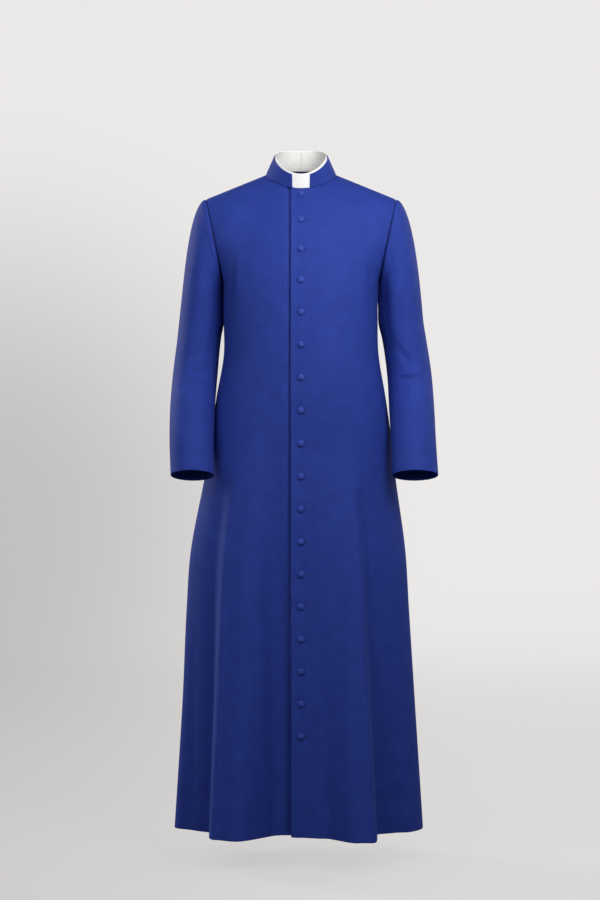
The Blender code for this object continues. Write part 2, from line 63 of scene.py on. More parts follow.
def smoothRow(rows, key, place):
    # the columns after the key column, on a smooth curve through the rows
    last = len(rows) - 1
    rising = rows[last][key] > rows[0][key]
    i = 0
    while i < last - 1 and (place > rows[i + 1][key]) == rising and place != rows[i + 1][key]:
        i += 1
    low, high = rows[i], rows[i + 1]
    before, after = rows[max(i - 1, 0)], rows[min(i + 2, last)]
    span = high[key] - low[key]
    t = (place - low[key]) / span
    t2, t3 = t * t, t * t * t
    result = []
    for c in range(key + 1, len(low)):
        rise = (high[c] - low[c]) / span
        riseBefore = rise if i == 0 else (low[c] - before[c]) / (low[key] - before[key])
        riseAfter = rise if i == last - 1 else (after[c] - high[c]) / (after[key] - high[key])
        start = 0.5 * (rise + riseBefore) * span
        end = 0.5 * (rise + riseAfter) * span
        result.append((2 * t3 - 3 * t2 + 1) * low[c] + (t3 - 2 * t2 + t) * start
                      + (3 * t2 - 2 * t3) * high[c] + (t3 - t2) * end)
    return result


def easedRow(rows, key, place):
    # the columns after the key column, level at every row and eased between them
    i = 0
    while i < len(rows) - 2 and place > rows[i + 1][key]:
        i += 1
    low, high = rows[i], rows[i + 1]
    t = eased((place - low[key]) / (high[key] - low[key]))
    return [low[c] + (high[c] - low[c]) * t for c in range(key + 1, len(low))]


def cubic(p0, p1, p2, p3, t):
    s = 1.0 - t
    return p0 * s ** 3 + p1 * 3 * s * s * t + p2 * 3 * s * t * t + p3 * t ** 3


def evenPlaces(count, ends=(0.0,)):
    # places from 0 to 1: the given ones at both ends and even steps between them
    middle = [ends[-1] + (1.0 - 2.0 * ends[-1]) * k / count for k in range(1, count)]
    return list(ends) + middle + [1.0 - place for place in reversed(ends)]


# Horizontal rings of the body without their folds. "middle" is where the ring is widest, "square"
# the exponent of its rounded shape, "lean" how far it hangs to the wearer's left.
body = {
    "hemZ": -1.474,
    "waistZ": -0.405,
    "underarmZ": -0.240,
    "foldGrowth": 1.15,
    "rings": (
        # name, z, half, front, back, middle, square, lean
        ("hem", -1.474, 0.279, 0.103, 0.192, 0.025, 2.0, -0.001),
        ("shin", -1.18, 0.261, 0.108, 0.176, 0.021, 2.0, -0.003),
        ("knee", -0.98, 0.2505, 0.113, 0.16, 0.017, 2.05, -0.006),
        ("thigh", -0.85, 0.242, 0.117, 0.15, 0.014, 2.1, -0.006),
        ("hand", -0.675, 0.214, 0.121, 0.138, 0.01, 2.15, -0.002),
        ("seat", -0.59, 0.203, 0.123, 0.131, 0.008, 2.2, 0.0),
        ("hip", -0.504, 0.1905, 0.126, 0.119, 0.004, 2.2, 0.0),
        ("waist", -0.405, 0.1735, 0.129, 0.108, 0.002, 2.25, 0.0),
        ("ribs", -0.325, 0.1732, 0.132, 0.11, 0.002, 2.3, -0.001),
        ("underarm", -0.24, 0.1745, 0.134, 0.115, 0.004, 2.35, 0.0),
    ),
    "folds": (
        # name, angle from the centre front, out at the hem, height where it dies
        ("back right crest", -160.0, 0.018, -0.62),
        ("back right hollow", -145.0, -0.012, -0.66),
        ("hip right crest", -129.0, 0.012, -0.7),
        ("hip right hollow", -110.0, -0.012, -0.75),
        ("side right crest", -89.0, 0.006, -0.7),
        ("side right hollow", -66.0, -0.018, -0.66),
        ("knee right foot", -50.0, -0.02, -0.62),
        ("knee right edge", -37.3, 0.053, -0.6),
        ("knee right crest", -28.0, 0.06, -0.6),
        ("lap right hollow", -11.5, -0.013, -0.6),
        ("centre front", 0.0, 0.0, -0.6),
        ("lap left rise", 10.5, 0.012, -0.6),
        ("knee left crest", 23.0, 0.073, -0.6),
        ("knee left edge", 29.4, 0.077, -0.6),
        ("knee left foot", 40.0, -0.013, -0.62),
        ("side left hollow", 50.0, -0.012, -0.66),
        ("side left rise", 62.0, 0.0, -0.7),
        ("side left crest", 89.0, -0.002, -0.7),
        ("hip left hollow", 111.0, -0.013, -0.75),
        ("hip left crest", 128.0, 0.011, -0.7),
        ("back left hollow", 144.0, -0.013, -0.66),
        ("back left crest", 159.0, 0.017, -0.62),
        ("centre back", 180.0, -0.006, -0.62),
    ),
}
# Columns of the yoke rise as cubic curves. "along" and "up" place the lower handle from the chest
# row, and "across", "ahead" and "high" the upper one.
yoke = {
    "tip": Vector((0.213, 0.004, -0.057)),
    "underarm": Vector((0.174, 0.004, body["underarmZ"])),
    "neckShare": 0.45,
    "front": (
        # name, share, dip, along, up, across, ahead, high
        ("lap", 0.0, 0.05, 0.0, 0.098, 0.022, 0.1, -0.092),
        ("throat", 0.25, 0.05, 0.0, 0.102, 0.067, 0.086, -0.07),
        ("neck point", 0.45, 0.05, 0.008, 0.105, 0.096, 0.088, -0.054),
        ("shoulder", 0.72, 0.042, 0.046, 0.082, 0.155, 0.096, -0.048),
        ("armhole", 1.0, 0.0, 0.088, 0.0, 0.213, 0.084, -0.057),
    ),
    "back": (
        ("centre", 0.0, 0.05, 0.0, 0.11, 0.0, 0.101, -0.046),
        ("nape", 0.25, 0.05, 0.0, 0.11, 0.056, 0.099, -0.035),
        ("neck point", 0.45, 0.05, 0.008, 0.11, 0.096, 0.1, -0.026),
        ("shoulder", 0.72, 0.042, 0.04, 0.088, 0.155, 0.102, -0.036),
        ("armhole", 1.0, 0.0, 0.0933, 0.0, 0.213, 0.0973, -0.057),
    ),
}
# half width, front and back reach, and the heights at the front, the side and the back
neckline = {"half": 0.079, "front": 0.048, "back": 0.071, "z": (-0.0375, 0.0, 0.0175)}
collarTop = {"half": 0.061, "front": 0.057, "back": 0.056, "z": (-0.0113, 0.037, 0.055)}
lap = {"half": 0.022, "sink": 0.0052, "ramp": 0.014,
       "skirtTop": -0.58, "skirtSink": 0.0150, "skirtRamp": 0.050}


@functools.lru_cache(maxsize=None)
def ringSizes(z):
    rings = body["rings"]
    return smoothRow(rings, 1, min(max(z, rings[0][1]), rings[-1][1]))


def plainRing(angle, z):
    half, front, back, middle, square, lean = ringSizes(z)
    across, ahead = math.sin(angle), math.cos(angle)
    reach = front + middle if ahead > 0 else back - middle
    x = lean + half * math.copysign(abs(across) ** (2 / square), across)
    y = middle - reach * math.copysign(abs(ahead) ** (2 / square), ahead)
    return Vector((x, y, z))


def closedRing(rows):
    # the same rows with the last one before the first and the first after the last
    first, last = rows[0], rows[-1]
    before = (last[0], last[1] - 360.0) + last[2:]
    after = (first[0], first[1] + 360.0) + first[2:]
    return (before,) + rows + (after,)


foldRing = closedRing(body["folds"])


@functools.lru_cache(maxsize=None)
def foldRow(degrees):
    return easedRow(foldRing, 1, degrees)


def foldOut(degrees, z):
    out, top = foldRow(round(degrees, 3))
    if z >= top:
        return 0.0
    return out * ((top - z) / (top - body["hemZ"])) ** body["foldGrowth"]


def ringPoint(degrees, z):
    angle = math.radians(degrees)
    point = plainRing(angle, z)
    run = plainRing(angle + smallTurn, z) - plainRing(angle - smallTurn, z)
    outward = Vector((-run.y, run.x, 0.0)).normalized()
    if outward.dot(point - Vector((0.0, ringSizes(z)[3], z))) < 0.0:
        outward = -outward
    return point + outward * foldOut(degrees, z)


def neckLoop(sizes, turn):
    # a point of the neckline or of the collar's top, turn in radians from the centre front
    frontZ, sideZ, backZ = sizes["z"]
    ahead = math.cos(turn)
    middle = 0.5 * (sizes["back"] - sizes["front"])
    reach = 0.5 * (sizes["back"] + sizes["front"])
    tilt = 0.5 * (backZ - frontZ)
    sag = sideZ - 0.5 * (backZ + frontZ)
    z = sideZ - tilt * ahead - sag * ahead * ahead
    return Vector((sizes["half"] * math.sin(turn), middle - reach * ahead, z))


def lapAngle(x, z):
    # degrees round the ring at a distance x from the centre line
    half, _, _, _, square, lean = ringSizes(z)
    across = (x - lean) / half
    return math.degrees(math.asin(math.copysign(abs(across) ** (square / 2), across)))


def columnAngle(column, z):
    # a column is ("x", metres from the centre) or ("share", 0 to 1 from the panel's edge)
    kind, value, edge = column
    if kind == "x":
        return lapAngle(value, z)
    start = lapAngle(edge, z) if edge else 0.0
    return start + (90.0 - start) * value


def neckTurn(column, isFront):
    kind, value, edge = column
    if kind == "x":
        return math.asin(value / neckline["half"])
    first = math.asin(edge / neckline["half"]) if edge else 0.0
    turn = first + (math.pi / 2 - first) * min(1.0, value / yoke["neckShare"])
    return turn if isFront else math.pi - turn


def chestDip(column, isFront):
    share = 0.0 if column[0] == "x" else column[1]
    return smoothRow(yoke["front"] if isFront else yoke["back"], 1, share)[0]


@functools.lru_cache(maxsize=None)
def yokeCurve(column, side, isFront):
    # the four points of a column's curve, from the chest row to the neckline or the shoulder seam
    kind, value, _ = column
    share = 0.0 if kind == "x" else value
    rows = yoke["front"] if isFront else yoke["back"]
    dip, along, up, across, ahead, high = smoothRow(rows, 1, share)
    z = body["underarmZ"] - dip
    degrees = columnAngle(column, z)

    def onRing(angle):
        return ringPoint((angle if isFront else 180.0 - angle) * side, z)

    bottom = onRing(degrees)
    if value >= 1.0 and kind == "share":
        bottom = Vector((yoke["underarm"].x * side, yoke["underarm"].y, yoke["underarm"].z))
    run = (onRing(degrees - smallAngle) - onRing(degrees + smallAngle)).normalized()
    if share <= yoke["neckShare"]:
        top = neckLoop(neckline, neckTurn(column, isFront))
    else:
        t = (share - yoke["neckShare"]) / (1.0 - yoke["neckShare"])
        top = neckLoop(neckline, math.pi / 2).lerp(yoke["tip"], t)
    if kind == "x":
        across = value
    handle = Vector((across * side, -ahead if isFront else ahead, high))
    top.x *= side
    return bottom, bottom + run * along + Vector((0, 0, up)), handle, top


def bodyPoint(column, row, side, isFront):
    # row: 0 hem, 1 waist, 2 chest row, 3 top edge
    if row >= 2.0:
        return cubic(*yokeCurve(column, side, isFront), row - 2.0)
    if row <= 1.0:
        z = body["hemZ"] + (body["waistZ"] - body["hemZ"]) * row
    else:
        top = body["underarmZ"] - chestDip(column, isFront)
        z = body["waistZ"] + (top - body["waistZ"]) * (row - 1.0)
    degrees = columnAngle(column, z)
    return ringPoint((degrees if isFront else 180.0 - degrees) * side, z)


# How an edge is finished: how deep its rounded lip rolls in, over what width, and whether the
# inside rolls too, as it does on a turned edge. A seam only dips.
edgeForms = {
    "seam": {"depth": 0.0010, "reach": 0.0042, "bothSides": False},
    "pressed": {"depth": 0.0004, "reach": 0.0022, "bothSides": False},
    "armhole": {"depth": 0.0018, "reach": 0.0060, "bothSides": False},
    "turned": {"depth": 0.0005, "reach": 0.0014, "bothSides": True},
}
shell = {"wall": 0.0016, "seamGap": 0.0003}


def creaseOut(creases, across, z):
    # soft ridges and troughs, each from one place to another with a bow between them
    out = 0.0
    for _, x0, z0, x1, z1, width, height, bow in creases:
        runX, runZ = x1 - x0, z1 - z0
        length = math.hypot(runX, runZ)
        t = ((across - x0) * runX + (z - z0) * runZ) / (length * length)
        if 0.0 < t < 1.0:
            off = ((across - x0) * runZ - (z - z0) * runX) / length
            middle = 2.0 * t - 1.0
            off -= bow * (1.0 - middle * middle)
            if abs(off) < width:
                out += height * bell(off / width) * bell(middle)
    return out


def gridNormals(points, outward):
    # unit normals of a grid of points, pointing away from the outward test points
    across = np.gradient(points, axis=0)
    rise = np.gradient(points, axis=1)
    normals = np.cross(across, rise)
    normals /= np.linalg.norm(normals, axis=2, keepdims=True)
    if (normals * outward).sum() < 0:
        normals = -normals
    return normals


def runLengths(points, axis):
    steps = np.linalg.norm(np.diff(points, axis=axis), axis=2)
    start = np.zeros_like(np.take(steps, [0], axis=axis))
    return np.concatenate([start, np.cumsum(steps, axis=axis)], axis=axis)


def edgeRoll(form, distance):
    share = np.clip(1.0 - distance / form["reach"], 0.0, 1.0)
    return form["depth"] * share * share


def clothShell(name, points, outward, edges, materials, lining=0.0, wall=None, relief=None):
    # A grid of points becomes a thin shell of cloth with turned or seamed edges. UV is in metres
    # along the cloth. Faces inside, further than "lining" from the low edge, take material 1.
    wall = wall or shell["wall"]
    normals = gridNormals(points, outward)
    if relief is not None:
        points = points + normals * relief[..., None]
        normals = gridNormals(points, outward)
    u, v = runLengths(points, 0), runLengths(points, 1)
    distances = {"first": u, "last": u[-1:, :] - u, "low": v, "high": v[:, -1:] - v}
    outer = np.zeros(u.shape)
    inner = np.zeros(u.shape)
    for edge, kind in edges.items():
        roll = edgeRoll(edgeForms[kind], distances[edge])
        outer = np.maximum(outer, roll)
        if edgeForms[kind]["bothSides"]:
            inner = np.maximum(inner, roll)
    outside = points - normals * outer[..., None]
    inside = points - normals * (wall - inner)[..., None]

    columns, rows = u.shape
    bm = bmesh.new()
    bmesh.ops.create_grid(bm, x_segments=columns - 1, y_segments=rows - 1, size=0.5, calc_uvs=True)
    place = bm.verts.layers.int.new("place")
    for vert in bm.verts:
        i = round((vert.co.x + 0.5) * (columns - 1))
        j = round((vert.co.y + 0.5) * (rows - 1))
        vert[place] = i * rows + j
    layer = bm.loops.layers.uv.verify()
    for face in bm.faces:
        for loop in face.loops:
            i, j = divmod(loop.vert[place], rows)
            loop[layer].uv = (u[i, j], v[i, j])
    made = bmesh.ops.extrude_face_region(bm, geom=bm.faces[:])["geom"]
    moved = {item for item in made if isinstance(item, bmesh.types.BMVert)}
    for vert in bm.verts:
        i, j = divmod(vert[place], rows)
        vert.co = inside[i, j] if vert in moved else outside[i, j]
    for face in bm.faces:
        if all(vert in moved for vert in face.verts):
            i, j = divmod(face.verts[0][place], rows)
            if v[i, j] > lining and len(materials) > 1:
                face.material_index = 1
    bmesh.ops.recalc_face_normals(bm, faces=bm.faces[:])
    return meshObject(name, bm, materials)


def meshObject(name, bm, materials, sharp=50.0):
    # the finished mesh as a smooth object, with edges over "sharp" degrees kept sharp
    for face in bm.faces:
        face.smooth = True
    mesh = bpy.data.meshes.new(name)
    bm.to_mesh(mesh)
    bm.free()
    for material in materials:
        mesh.materials.append(material)
    if sharp:
        mesh.set_sharp_from_angle(angle=math.radians(sharp))
    piece = bpy.data.objects.new(name, mesh)
    bpy.context.scene.collection.objects.link(piece)
    return piece


def spunMesh(profile, steps, weld):
    # a profile of (distance from the axis, height) turned all the way round
    bm = bmesh.new()
    verts = [bm.verts.new((x, 0.0, z)) for x, z in profile]
    edges = [bm.edges.new(pair) for pair in zip(verts, verts[1:])]
    bmesh.ops.spin(bm, geom=verts + edges, cent=(0, 0, 0), axis=(0, 0, 1), dvec=(0, 0, 0),
                   angle=math.tau, steps=steps, use_merge=True)
    bmesh.ops.remove_doubles(bm, verts=bm.verts[:], dist=weld)
    bmesh.ops.recalc_face_normals(bm, faces=bm.faces[:])
    return bm


def addPiece(piece, slot, *nodes):
    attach(piece, "root")
    if nodes:
        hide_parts(*nodes)


def hexLinear(code):
    # an sRGB hex code as linear red, green and blue with full alpha
    values = [int(code[k:k + 2], 16) / 255 for k in (1, 3, 5)]
    return [c / 12.92 if c <= 0.04045 else ((c + 0.055) / 1.055) ** 2.4 for c in values] + [1.0]


def addNode(tree, kind, settings=None, inputs=(), **links):
    # settings are properties or input values by name, inputs are sockets or numbers in the order
    # of the node's own, and links are inputs by name with _ for spaces
    node = tree.nodes.new(f"ShaderNode{kind}")
    for name, value in (settings or {}).items():
        if name in node.inputs:
            node.inputs[name].default_value = value
        else:
            setattr(node, name, value)
    for target, source in zip(node.inputs, inputs):
        if isinstance(source, bpy.types.NodeSocket):
            tree.links.new(source, target)
        else:
            target.default_value = source
    for name, socket in links.items():
        tree.links.new(socket, node.inputs[name.replace("_", " ")])
    return node


def newMaterial(name, coords, roughness, **shaderSettings):
    # gives the node tree, the shader and the coordinates that the patterns read
    material = bpy.data.materials.new(name)
    material.use_nodes = True
    tree = material.node_tree
    shader = tree.nodes["Principled BSDF"]
    shader.inputs["Roughness"].default_value = roughness
    for key, value in shaderSettings.items():
        shader.inputs[key.replace("_", " ")].default_value = value
    place = addNode(tree, "TexCoord").outputs[coords]
    return material, tree, shader, place


def dressShader(tree, shader, shade, dark, light, stops=(0.0, 1.0), relief=None, **bump):
    # the shade runs the colour from dark to light between its stops, and the relief bends the
    # light as a bump of the given Strength and Distance would
    ramp = addNode(tree, "ValToRGB", Fac=shade)
    for element, stop, code in zip(ramp.color_ramp.elements, stops, (dark, light)):
        element.position = stop
        element.color = hexLinear(code)
    tree.links.new(ramp.outputs["Color"], shader.inputs["Base Color"])
    if relief is not None:
        raised = addNode(tree, "Bump", bump, Height=relief)
        tree.links.new(raised.outputs["Normal"], shader.inputs["Normal"])


def waveScale(spacing):
    # Blender's band texture repeats every 2 pi / 20 of its own units
    return 2 * math.pi / 20 / spacing


worsted = {
    "roughness": 0.78,
    "bloom": "#5C74D8",
    "twillTurn": 27.0,            # degrees off the warp
    "twillWander": 0.6,
    "yarn": 0.0016,               # size of the uneven spots of yarn, in metres
    "nap": 0.035,                 # size of the cloudy places where the nap lies another way
    "yarnInColour": 0.35,         # how much of the yarn shows beside the nap
    "yarnInRelief": 0.5,          # and beside the twill
    "stops": (0.45, 0.90),
    "bump": 0.25,
}


def wovenWool(name, dark, light, twillSpacing, bumpHeight, coords):
    # Worsted gabardine: combed wool yarns woven in a steep twill and pressed flat. To the eye it
    # is a deep, even, matte blue with a faint bloom where it turns away. The real twill lines are
    # 0.6 mm apart; here they are drawn about twice as coarse, so that they hold in a close view.
    material, tree, shader, place = newMaterial(
        name, coords, worsted["roughness"], Sheen_Weight=0.08, Sheen_Roughness=0.45,
        Sheen_Tint=hexLinear(worsted["bloom"]), IOR=1.5, Specular_IOR_Level=0.25)
    turn = math.radians(worsted["twillTurn"])
    steep = addNode(tree, "Mapping", {"Rotation": (0.0, 0.0, turn)}, Vector=place)
    twill = addNode(tree, "TexWave", {"bands_direction": "X", "Scale": waveScale(twillSpacing),
                    "Distortion": worsted["twillWander"], "Detail": 1.0, "Detail Scale": 4.0},
                    Vector=steep.outputs["Vector"]).outputs["Fac"]
    yarn = addNode(tree, "TexNoise", {"Scale": 1 / worsted["yarn"], "Detail": 2.0},
                   Vector=place).outputs["Fac"]
    nap = addNode(tree, "TexNoise", {"Scale": 1 / worsted["nap"], "Detail": 3.0,
                  "Roughness": 0.55}, Vector=place).outputs["Fac"]
    shade, relief = [
        addNode(tree, "Math", {"operation": "MULTIPLY_ADD"}, (yarn, share, other))
        for share, other in ((worsted["yarnInColour"], nap), (worsted["yarnInRelief"], twill))]
    dressShader(tree, shader, shade.outputs[0], dark, light, worsted["stops"], relief.outputs[0],
                Strength=worsted["bump"], Distance=bumpHeight)
    return material


def liningTwill():
    # Viscose body lining: smooth, slippery and half glossy, in a blue darker than the wool.
    material, tree, shader, place = newMaterial("viscose lining", "UV", 0.42, IOR=1.48)
    cloudy = addNode(tree, "TexNoise", {"Scale": 1 / 0.05, "Detail": 2.0}, Vector=place)
    threads = addNode(tree, "TexWave", {"bands_direction": "DIAGONAL",
                      "Scale": waveScale(0.0009)}, Vector=place)
    dressShader(tree, shader, cloudy.outputs["Fac"], "#151E52", "#1A2560", (0.3, 0.7),
                threads.outputs["Fac"], Strength=0.1, Distance=0.0001)
    return material


def starchedCotton():
    # Starched white cotton of the collar insert: a fine plain weave ironed smooth, so it looks
    # bright and nearly even with a soft dull gloss. Threads are 0.35 mm apart, drawn at 0.7 mm.
    material, tree, shader, place = newMaterial("starched cotton", "UV", 0.5, IOR=1.5,
                                                Sheen_Weight=0.1)
    spots = addNode(tree, "TexNoise", {"Scale": 1 / 0.012, "Detail": 3.0}, Vector=place)
    warp, weft = [addNode(tree, "TexWave", {"bands_direction": axis,
                          "Scale": waveScale(0.0007)}, Vector=place) for axis in "XY"]
    weave = addNode(tree, "Math", {"operation": "ADD"},
                    (warp.outputs["Fac"], weft.outputs["Fac"]))
    dressShader(tree, shader, spots.outputs["Fac"], "#F6F4F1", "#FDFCFA", (0.3, 0.7),
                weave.outputs[0], Strength=0.15, Distance=0.0001)
    return material


def silkTwist():
    # Buttonhole twist: glossy three-ply silk thread, laid in close stitches 0.8 mm apart.
    material, tree, shader, place = newMaterial("silk twist", "Object", 0.45, Sheen_Weight=0.2,
                                                IOR=1.5)
    ply = addNode(tree, "TexWave", {"bands_direction": "X", "Scale": waveScale(0.0008),
                  "Distortion": 1.0}, Vector=place).outputs["Fac"]
    dressShader(tree, shader, ply, "#1F2F7C", "#2A3D96", relief=ply, Strength=0.5,
                Distance=0.0002)
    return material


def slitShade():
    # Painted shade of a buttonhole's slit: a near-black line laid on the cloth
    # where the narrow cut would fall dark in its own shade.
    material, tree, shader, place = newMaterial("painted buttonhole slit shade", "Object", 0.95)
    fibres = addNode(tree, "TexNoise", {"Scale": 1 / 0.0008}, Vector=place)
    dressShader(tree, shader, fibres.outputs["Fac"], "#0E1438", "#18204F")
    return material


wool = wovenWool("worsted gabardine", "#1F3488", "#243B95", 0.0012, 0.00025, "UV")
# the same gabardine, painted lighter: a painted highlight for the light the domes catch
buttonWoolPaintedHighlight = wovenWool("worsted gabardine painted lighter on buttons", "#2C4297", "#3348A3", 0.0010, 0.0002,
                       "Object")
lining = liningTwill()
cotton = starchedCotton()
thread = silkTwist()
slitPaintedShade = slitShade()
print("materials made")

sides = (("left", 1), ("right", -1))
panel = {
    "skirtRows": 226,
    "chestRows": 42,
    "yokeRows": 54,
    "frontColumns": 78,
    "backColumns": 84,
    "lapColumns": 16,
    "rowEnds": (0.0, 0.0007, 0.0015, 0.003),       # shares of the skirt row near the hem
    "yokeEnds": (0.0, 0.004, 0.01, 0.018),         # and of the yoke row near its top edge
    "columnEnds": (0.0, 0.0025, 0.006, 0.011),     # shares of the panel's width near a seam
    "lapEnds": (0.0, 0.015, 0.035, 0.06),
    "hemTurning": 0.045,                           # how far the wool turns up inside the hem
    "edgeLift": 0.0034,                            # the top front's edge stands off the other
    "edgeLiftWidth": 0.018,
    "pressedShare": 0.65,                          # of that lift, what is left at a button
    "pressedReach": 0.030,
    "buttonDimple": 0.0008,
    "buttonDimpleWidth": 0.016,
    "softShare": 0.32,                             # how far round the neck point's kink is eased
    "softRows": (1.6, 2.1, 2.7, 3.0),              # rows where the easing begins, is full, ends
    "softPasses": 90,
}


def inMetres(rows):
    return [[row[0]] + [0.001 * size for size in row[1:]] for row in rows]


# Creases in millimetres, as seen from the front or the back: across, + to the wearer's left, and
# up. Each runs from one end to the other with its height or depth fading out at both.
frontCreases = inMetres((
    # name, x0, z0, x1, z1, width, height, bow
    ("left armpit drag", 150, -180, 172, -330, 12, -3, 4),
    ("left armpit ridge", 128, -170, 158, -330, 16, 2.2, 6),
    ("right armpit drag", -150, -170, -168, -320, 12, -2.6, -4),
    ("right armpit ridge", -130, -180, -156, -310, 15, 1.8, -5),
    ("left shoulder break", 100, -85, 165, -165, 18, -1, 4),
    ("right shoulder break", -105, -80, -165, -160, 18, -1, -4),
    ("belly", -100, -455, 200, -455, 190, 10, 0),
    ("lap right trough", -66, -420, -34, -1850, 38, -10.5, 0),
    ("lap left trough", 76, -420, 100, -1600, 32, -6.5, 0),
    ("knee right edge", -156, -600, -221, -2000, 13, 4.2, 0),
    ("knee left edge", 113, -600, 180, -2000, 14, 4.5, 0),
))
backCreases = inMetres((
    ("between blades", 0, -80, 4, -300, 30, -3, 2),
    ("left blade", 95, -110, 110, -300, 34, 2.2, 6),
    ("right blade", -95, -115, -110, -290, 34, 2.2, -6),
    ("left armpit drag", 140, -170, 168, -330, 12, -2.8, 5),
    ("right armpit drag", -142, -175, -168, -320, 12, -2.6, -5),
    ("small of back", -120, -425, 115, -418, 24, -2.6, 4),
    ("small of back ridge", -90, -462, 100, -455, 20, 1.8, 3),
    ("seat pull left", 30, -500, 140, -560, 18, 1.4, 6),
    ("seat pull right", -35, -510, -140, -575, 18, 1.4, -6),
    ("collar break", -70, -30, 70, -30, 12, -1, 4),
    ("left fall", 55, -520, 118, -1950, 21, 7, 4),
    ("left fall hollow", 95, -600, 195, -1950, 30, -7.2, 5),
    ("right fall", -50, -560, -112, -1980, 23, 6.6, -3),
    ("right fall hollow", -90, -630, -185, -1980, 31, -7.4, -4),
    ("middle hollow", 4, -540, 12, -2000, 36, -6.6, 2),
))


def evenShares(count, edge, isFront, side):
    # shares of a panel's width at equal lengths along its hem
    z = body["hemZ"]
    fine = 400
    points = []
    for k in range(fine + 1):
        degrees = columnAngle(("share", k / fine, edge), z)
        points.append(ringPoint((degrees if isFront else 180.0 - degrees) * side, z))
    runs = np.cumsum([0.0] + [(b - a).length for a, b in zip(points, points[1:])])
    wanted = np.array(evenPlaces(count, panel["columnEnds"])) * runs[-1]
    return [float(s) for s in np.interp(wanted, runs, np.linspace(0.0, 1.0, fine + 1))]


def softened(points, outward, shares, rows):
    # eases the kink that runs down a panel's yoke from the neck point
    begin, full, fade, end = panel["softRows"]
    near = [bell((share - yoke["neckShare"]) / panel["softShare"]) for share in shares]
    along = [eased((row - begin) / (full - begin)) * eased((end - row) / (end - fade))
             for row in rows]
    weights = np.outer(near, along)
    smooth = points.copy()
    for _ in range(panel["softPasses"]):
        middle = 0.25 * (smooth[:-2] + smooth[2:]) + 0.5 * smooth[1:-1]
        smooth[1:-1] += (middle - smooth[1:-1]) * weights[1:-1, :, None]
    normals = gridNormals(points, outward)
    return points + normals * ((smooth - points) * normals).sum(axis=2)[..., None]


def panelRows():
    # fine at the hem and at the top edge, and even where one row of panels runs into the next
    skirt = evenPlaces(panel["skirtRows"], panel["rowEnds"])
    skirt = [place for place in skirt if place < 1.0 - panel["rowEnds"][1]]
    chest = [1.0 + k / panel["chestRows"] for k in range(panel["chestRows"])]
    top = [2.0 + place for place in evenPlaces(panel["yokeRows"], panel["yokeEnds"])
           if place == 0.0 or place > panel["yokeEnds"][-1] + 0.001]
    return skirt + chest + top


def lapSink(x, z):
    # how far the under front lies below the top one: it dips as it goes under the edge, and on
    # the skirt it hangs further back
    low = min(1.0, max(0.0, (lap["skirtTop"] - z) / (lap["skirtTop"] - body["hemZ"])))
    past = x + lap["half"]
    return (lap["sink"] * eased(1.0 + past / lap["ramp"])
            + lap["skirtSink"] * low * eased(1.0 + past / lap["skirtRamp"]))


def buttonHeights():
    # sewn on by hand, so the spaces between them aren't quite even
    heights = []
    for number in range(1, buttons["count"] + 1):
        low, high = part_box(f"button_{number:02d}")
        heights.append(0.5 * (low.z + high.z) - smoothRow(buttons["drift"], 0, number)[0])
    return heights


def topFrontLift(x, z, heights):
    # the free edge stands off the under front, more so between the buttons, which press it down
    lift = 0.0
    nearest = min(abs(z - height) for height in heights)
    if x < -lap["half"] + panel["edgeLiftWidth"]:
        share = 1.0 - (x + lap["half"]) / panel["edgeLiftWidth"]
        pressed = panel["pressedShare"]
        between = pressed + (1.0 - pressed) * eased(nearest / panel["pressedReach"])
        lift += panel["edgeLift"] * share * share * between
    width = panel["buttonDimpleWidth"]
    if abs(x) < width and nearest < width:
        lift -= panel["buttonDimple"] * bell(math.hypot(x, nearest) / width)
    return lift


def panelPoints(columns, shares, isFront, creases, lift):
    # a column comes with the half of the body that it lies on, +1 left or -1 right
    rows = panelRows()
    points = [[bodyPoint(column, row, half, isFront) for row in rows] for column, half in columns]
    relief = [[creaseOut(creases, p.x, p.z) + lift(p.x, p.z) for p in line] for line in points]
    points = np.array(points)
    return softened(points, levelled(points), shares, rows), np.array(relief)


def frontPoints(side):
    # the left front, on top, starts past the centre, and the right one starts there underneath
    laps = [lap["half"] * (2.0 * place - 1.0)
            for place in evenPlaces(panel["lapColumns"], panel["lapEnds"])[:-1]]
    shares = evenShares(panel["frontColumns"], lap["half"], True, side)
    heights = buttonHeights()
    columns = [(("x", x * side, lap["half"]), 1) for x in laps]
    columns += [(("share", share, lap["half"]), side) for share in shares]
    return panelPoints(columns, [0.0] * len(laps) + shares, True, frontCreases,
                       lambda x, z: topFrontLift(x, z, heights) if side > 0 else -lapSink(x, z))


def backPoints(side):
    shares = evenShares(panel["backColumns"], 0.0, False, side)
    columns = [(("share", share, 0.0), side) for share in shares]
    return panelPoints(columns, shares, False, backCreases, lambda x, z: 0.0)


def levelled(points):
    # test directions for the outside: straight out from the centre line
    outward = points.copy()
    outward[..., 2] = 0.0
    return outward


buttons = {
    "count": 18,
    # number, how much lower than its CAD seat the button sits
    "drift": ((1, 0.0022), (2, 0.0026), (4, -0.0016), (7, -0.0020), (10, 0.0010), (18, 0.0028)),
    "radius": 0.0075,
    "height": 0.0052,
    "rim": 0.0016,
    "steps": 32,
    "domeSteps": 9,
    "domeFullness": 0.85,
    "domeInset": 0.35,       # in rims, as the roll's places in from the edge and up are
    "rimRoll": ((0.05, 0.82), (0.0, 0.55), (0.15, 0.25), (0.6, 0.0)),
    "gather": 0.45,          # of the radius
    "holeLength": 0.0185,
    "holeHalfWidth": 0.0012,
    "holeStart": -0.004,
    "holeSteps": 32,
    "slitSteps": 8,
    "slitInset": 0.08,       # of the hole's length, at both ends
    "twist": 0.00042,        # radius of the thread
}


